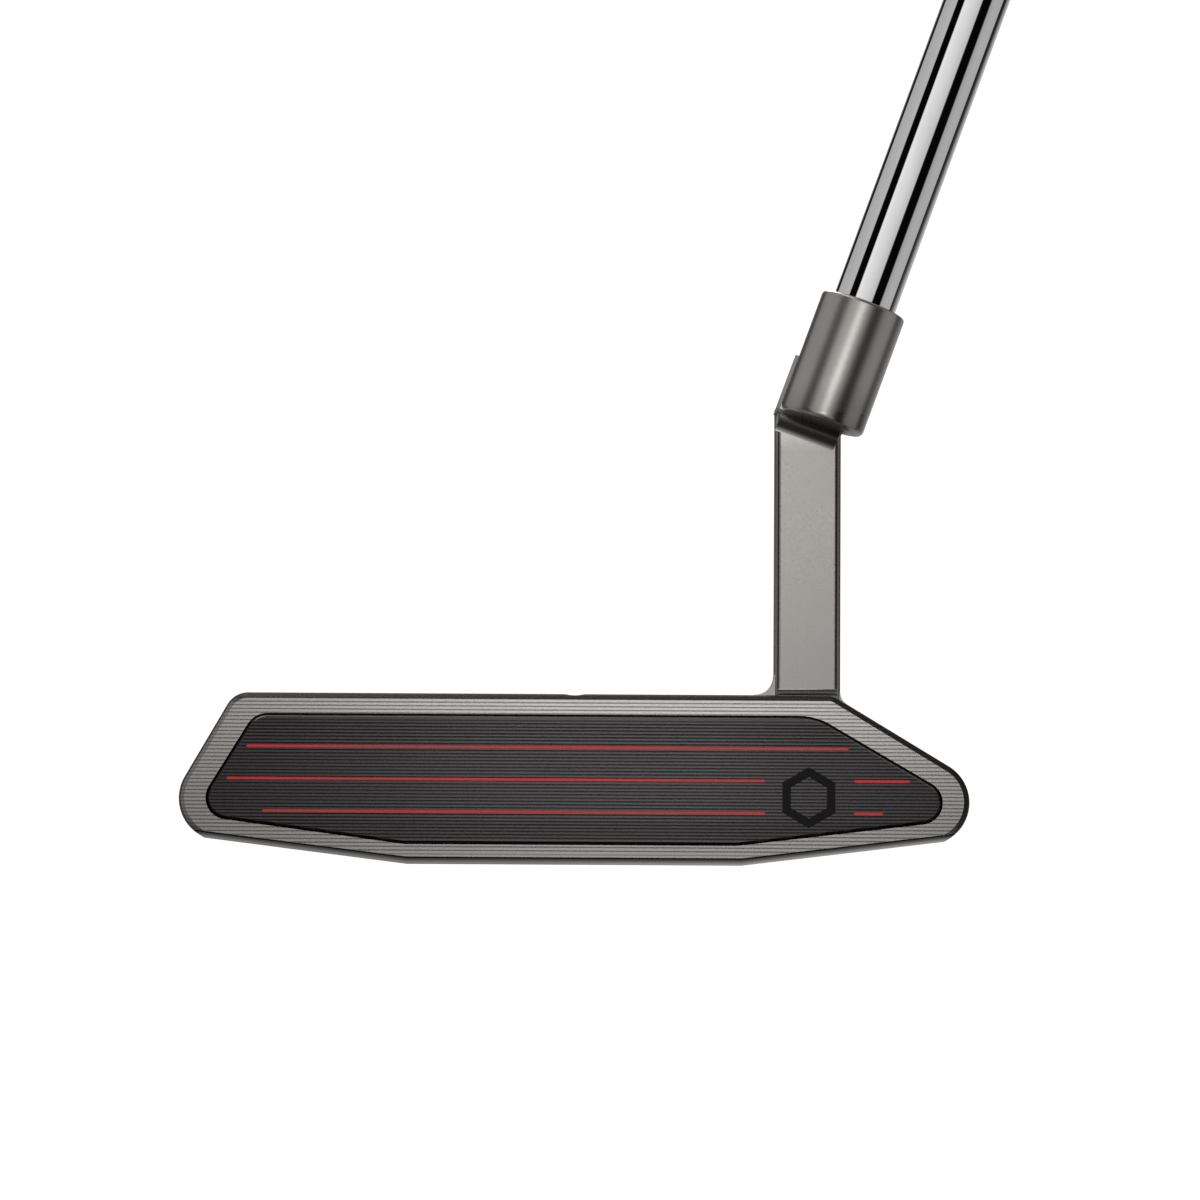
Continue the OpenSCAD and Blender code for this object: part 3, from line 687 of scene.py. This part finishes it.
def floor():
    around, radius, centre_x = 96, 6.0, 0.1        # metres
    points = [(centre_x, 0.0, 0.0)]
    for i in range(around):
        turn = 2 * math.pi * i / around
        points.append((centre_x + radius * math.cos(turn), radius * math.sin(turn), 0.0))
    mesh = bpy.data.meshes.new("floor")
    mesh.from_pydata(points, [], [(0, 1 + i, 1 + (i + 1) % around) for i in range(around)])
    obj = put("floor", mesh)
    obj.location.z = -6.5 * MM             # clear of the sole weights when they are screwed out
    mat = Material("floor_pale")
    mat.set(Roughness=0.9, Specular_IOR_Level=0.0,
            Base_Color=mat.fade(mat.noise(scale=3, detail=2), 0.90, 0.92))
    # mostly self-lit to the camera
    white = mat.add("Emission", {"Color": 1.0, "Strength": 1.12}).outputs[0]
    to_camera = mat.times(mat.add("LightPath").outputs["Is Camera Ray"], 0.92)
    pale = mat.mix_shader(to_camera, mat.surface.outputs[0], white)
    # seen from below the floor is clear, so the sole can be looked at
    below = mat.add("NewGeometry").outputs["Backfacing"]
    clear = mat.add("BsdfTransparent").outputs[0]
    mat.feed(mat.output.inputs["Surface"], mat.mix_shader(below, pale, clear))
    mesh.materials.append(mat.material)
    obj.visible_glossy = False


def softbox(name, place, aim, size, watts):
    """Rectangular lamp; place, aim and size in metres."""
    lamp = bpy.data.lights.new(name, "AREA")
    lamp.shape = "RECTANGLE"
    lamp.size, lamp.size_y = size
    lamp.energy = watts
    obj = put(name, lamp)
    obj.location = place
    obj.rotation_euler = (Vector(aim) - Vector(place)).to_track_quat("-Z", "Y").to_euler()
    obj.visible_camera = False
    return obj


def light_only(name, objects, lamps):
    """Limits the lamps to a collection of the objects."""
    lit = bpy.data.collections.new(name)
    for obj in objects:
        lit.objects.link(obj)
    for lamp in lamps:
        lamp.light_linking.receiver_collection = lit


studio()
floor()
SOLE = (0.0, 0.0, 0.02)
key = softbox("key", place=(0.018, -0.614, 0.125), aim=(0.018, 0.0, 0.125),
              size=(0.17, 0.10), watts=0.17)
hair = softbox("hair", place=(-0.05, 0.55, 0.62), aim=SOLE, size=(0.5, 0.4), watts=2.6)
hair_front = softbox("hair_front", place=(-0.25, -0.34, 0.62), aim=SOLE,
                     size=(0.5, 0.3), watts=0.7)
rake = softbox("rake", place=(0.12, -0.10, 1.45), aim=(0.28, -0.018, 0.72),
               size=(0.25, 0.25), watts=7.0)
side = softbox("side", place=(-0.55, -0.75, 0.75), aim=(0.27, -0.018, 0.70),
               size=(0.5, 0.7), watts=9.0)
light_only("grip_lit", (sleeve, cap), (rake, side))
light_only("key_lit", (head, insert, PIECES["insert_line_paint"]), (key, hair, hair_front))


# ---------------------------------------------------------------- camera
def camera():
    pitch, roll = math.radians(3.0), 0.00576       # looks slightly up; radians
    place = Vector((3.66627, -667.2729 + LEAD_Y, 4.36984))
    right = Vector((1, 0, 0))
    forward = Vector((0, math.cos(pitch), math.sin(pitch)))
    up = Vector((0, -math.sin(pitch), math.cos(pitch)))
    rolled_right = math.cos(roll) * right + math.sin(roll) * up
    rolled_up = -math.sin(roll) * right + math.cos(roll) * up
    lens = bpy.data.cameras.new("camera")
    lens.lens, lens.sensor_width, lens.sensor_fit = 135.0, 36.0, "HORIZONTAL"
    lens.clip_start, lens.clip_end = 0.01, 50
    obj = put("camera", lens)
    matrix = Matrix((rolled_right, rolled_up, -forward)).transposed().to_4x4()
    matrix.translation = place * MM
    obj.matrix_world = matrix
    bpy.context.scene.camera = obj


camera()
view = bpy.context.scene.view_settings
view.view_transform = "Standard"
view.look = "None"
view.exposure = 0.0
view.gamma = 1.0
